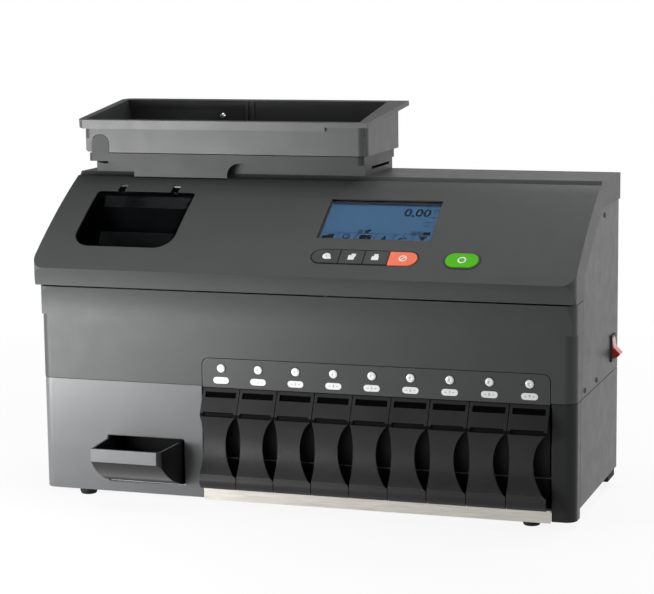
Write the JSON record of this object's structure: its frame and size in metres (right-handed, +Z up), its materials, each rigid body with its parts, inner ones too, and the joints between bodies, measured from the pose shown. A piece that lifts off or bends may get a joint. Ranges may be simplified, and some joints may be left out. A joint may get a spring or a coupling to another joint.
{
  "type": "coin sorting machine",
  "caption": "Desktop coin sorting machine with a tipping hopper, a smoked inspection flap, a control panel, nine coin boxes and a reject cup.",
  "frame": {"origin": "middle of the whole machine's outer box, at the height of the table it stands on", "axes": "+X to the right seen from the front, +Y from the front to the rear, +Z up"},
  "size_m": [0.5728, 0.2742, 0.3979],
  "materials": {
    "hood_paint": "fine textured dark grey paint",
    "panel_plastic": "fine textured dark grey moulding",
    "base_plastic": "satin dark grey moulding",
    "side_paint": "satin dark grey paint",
    "strip_steel": "brushed along its length",
    "zinc_steel": "zinc plated sheet",
    "foot_rubber": "matt",
    "screw_black": "black coated",
    "lamp_lens": "clear lens over a small lamp",
    "label_white": "printed pill",
    "hopper_plastic": "textured dark grey moulding",
    "smoked_glass": "smoked sheet",
    "pin_steel": "ground pin",
    "black_plastic": "matt",
    "disc_plastic": "hard smooth plastic",
    "motor_case": "black lacquer",
    "belt_rubber": "matt",
    "screen_panel": "lit blue screen",
    "screen_glass": "clear cover",
    "key_black": "matt",
    "key_orange": "satin",
    "key_green": "satin",
    "board_green": "solder-masked board",
    "switch_red": "clear red lens",
    "box_plastic": "smooth moulding"
  },
  "bodies": {
    "housing": {"hood": "hood_paint", "front_panel": "panel_plastic", "label_band": "panel_plastic", "base_front_left": "base_plastic", "base_front_right": "base_plastic", "side_plate_upper_left": "side_paint", "side_plate_upper_right": "side_paint", "side_plate_lower_left": "side_paint", "side_plate_lower_right": "side_paint", "rear_panel": "side_paint", "bottom_pan": "zinc_steel", "sill_strip": "strip_steel", "bay_floor": "black_plastic", "deck_plate": "zinc_steel", "sort_rail": "zinc_steel", "feet": "foot_rubber", "cover_screws": "screw_black", "channel_lamps": "lamp_lens", "channel_labels": "label_white", "hopper_collar": "hopper_plastic", "tray_pivots": "pin_steel", "window_frame": "black_plastic", "flap_pins": "pin_steel", "feed_ramp": "zinc_steel", "reject_chute": "zinc_steel", "feed_well": "black_plastic", "feed_motor": "motor_case", "belt_frame": "zinc_steel", "transport_belt": "belt_rubber", "belt_motor": "motor_case", "lcd_module": "screen_panel", "lcd_window": "screen_glass", "key_bezel": "black_plastic", "control_board": "board_green", "power_supply": "zinc_steel", "mains_inlet": "black_plastic", "switch_bezel": "black_plastic"},
    "tray": {"hopper_tray": "hopper_plastic", "tray_screw": "pin_steel"},
    "flap": {"inspection_flap": "smoked_glass"},
    "feeder": {"feed_disc": "disc_plastic", "disc_shaft": "pin_steel"},
    "drive": {"drive_pulley": "pin_steel"},
    "idler": {"idler_pulley": "pin_steel"},
    "arrow_key": {"key_1": "key_black"},
    "menu_key": {"key_2": "key_black"},
    "print_key": {"key_3": "key_black"},
    "stop_button": {"stop_key": "key_orange"},
    "start_button": {"start_key": "key_green"},
    "rocker": {"switch_rocker": "switch_red"},
    "cup": {"reject_cup": "box_plastic"},
    "box_1": {"coin_box_1": "box_plastic"},
    "box_2": {"coin_box_2": "box_plastic"},
    "box_3": {"coin_box_3": "box_plastic"},
    "box_4": {"coin_box_4": "box_plastic"},
    "box_5": {"coin_box_5": "box_plastic"},
    "box_6": {"coin_box_6": "box_plastic"},
    "box_7": {"coin_box_7": "box_plastic"},
    "box_8": {"coin_box_8": "box_plastic"},
    "box_9": {"coin_box_9": "box_plastic"}
  },
  "joints": [
    {"name": "tray_tilt", "type": "hinge", "parent": "housing", "child": "tray", "pos_m": [-0.25847, 0.07291, 0.357], "axis": [0, -1, 0], "range_deg": [0, 35]},
    {"name": "flap_swing", "type": "hinge", "parent": "housing", "child": "flap", "pos_m": [-0.19637, 0.001, 0.31113], "axis": [-1, 0, 0], "range_deg": [0, 105]},
    {"name": "disc_spin", "type": "hinge", "parent": "housing", "child": "feeder", "pos_m": [-0.19767, -0.03209, 0.18], "axis": [0, 0, 1], "continuous": true},
    {"name": "drive_spin", "type": "hinge", "parent": "housing", "child": "drive", "pos_m": [0.24183, 0.01091, 0.162], "axis": [0, 1, 0], "continuous": true},
    {"name": "idler_spin", "type": "hinge", "parent": "housing", "child": "idler", "pos_m": [-0.11617, 0.01091, 0.162], "axis": [0, 1, 0], "continuous": true},
    {"name": "arrow_key_press", "type": "slide", "parent": "housing", "child": "arrow_key", "axis": [0, 0.6097, -0.7926], "range_m": [0, 0.0012], "stiffness_N_per_m": 150},
    {"name": "menu_key_press", "type": "slide", "parent": "housing", "child": "menu_key", "axis": [0, 0.6097, -0.7926], "range_m": [0, 0.0012], "stiffness_N_per_m": 150},
    {"name": "print_key_press", "type": "slide", "parent": "housing", "child": "print_key", "axis": [0, 0.6097, -0.7926], "range_m": [0, 0.0012], "stiffness_N_per_m": 150},
    {"name": "stop_key_press", "type": "slide", "parent": "housing", "child": "stop_button", "axis": [0, 0.6097, -0.7926], "range_m": [0, 0.0012], "stiffness_N_per_m": 150},
    {"name": "start_key_press", "type": "slide", "parent": "housing", "child": "start_button", "axis": [0, 0.6097, -0.7926], "range_m": [0, 0.0012], "stiffness_N_per_m": 150},
    {"name": "rocker_turn", "type": "hinge", "parent": "housing", "child": "rocker", "pos_m": [0.27703, 0.09141, 0.1486], "axis": [0, 1, 0], "range_deg": [0, 22]},
    {"name": "cup_pull", "type": "slide", "parent": "housing", "child": "cup", "axis": [0, -1, 0], "range_m": [0, 0.08]},
    {"name": "box_1_pull", "type": "slide", "parent": "housing", "child": "box_1", "axis": [0, -1, 0], "range_m": [0, 0.165]},
    {"name": "box_2_pull", "type": "slide", "parent": "housing", "child": "box_2", "axis": [0, -1, 0], "range_m": [0, 0.165]},
    {"name": "box_3_pull", "type": "slide", "parent": "housing", "child": "box_3", "axis": [0, -1, 0], "range_m": [0, 0.165]},
    {"name": "box_4_pull", "type": "slide", "parent": "housing", "child": "box_4", "axis": [0, -1, 0], "range_m": [0, 0.165]},
    {"name": "box_5_pull", "type": "slide", "parent": "housing", "child": "box_5", "axis": [0, -1, 0], "range_m": [0, 0.165]},
    {"name": "box_6_pull", "type": "slide", "parent": "housing", "child": "box_6", "axis": [0, -1, 0], "range_m": [0, 0.165]},
    {"name": "box_7_pull", "type": "slide", "parent": "housing", "child": "box_7", "axis": [0, -1, 0], "range_m": [0, 0.165]},
    {"name": "box_8_pull", "type": "slide", "parent": "housing", "child": "box_8", "axis": [0, -1, 0], "range_m": [0, 0.165]},
    {"name": "box_9_pull", "type": "slide", "parent": "housing", "child": "box_9", "axis": [0, -1, 0], "range_m": [0, 0.165]}
  ],
  "couplings": [
    {"joint": "idler_spin", "follows": "drive_spin", "ratio": 1}
  ]
}
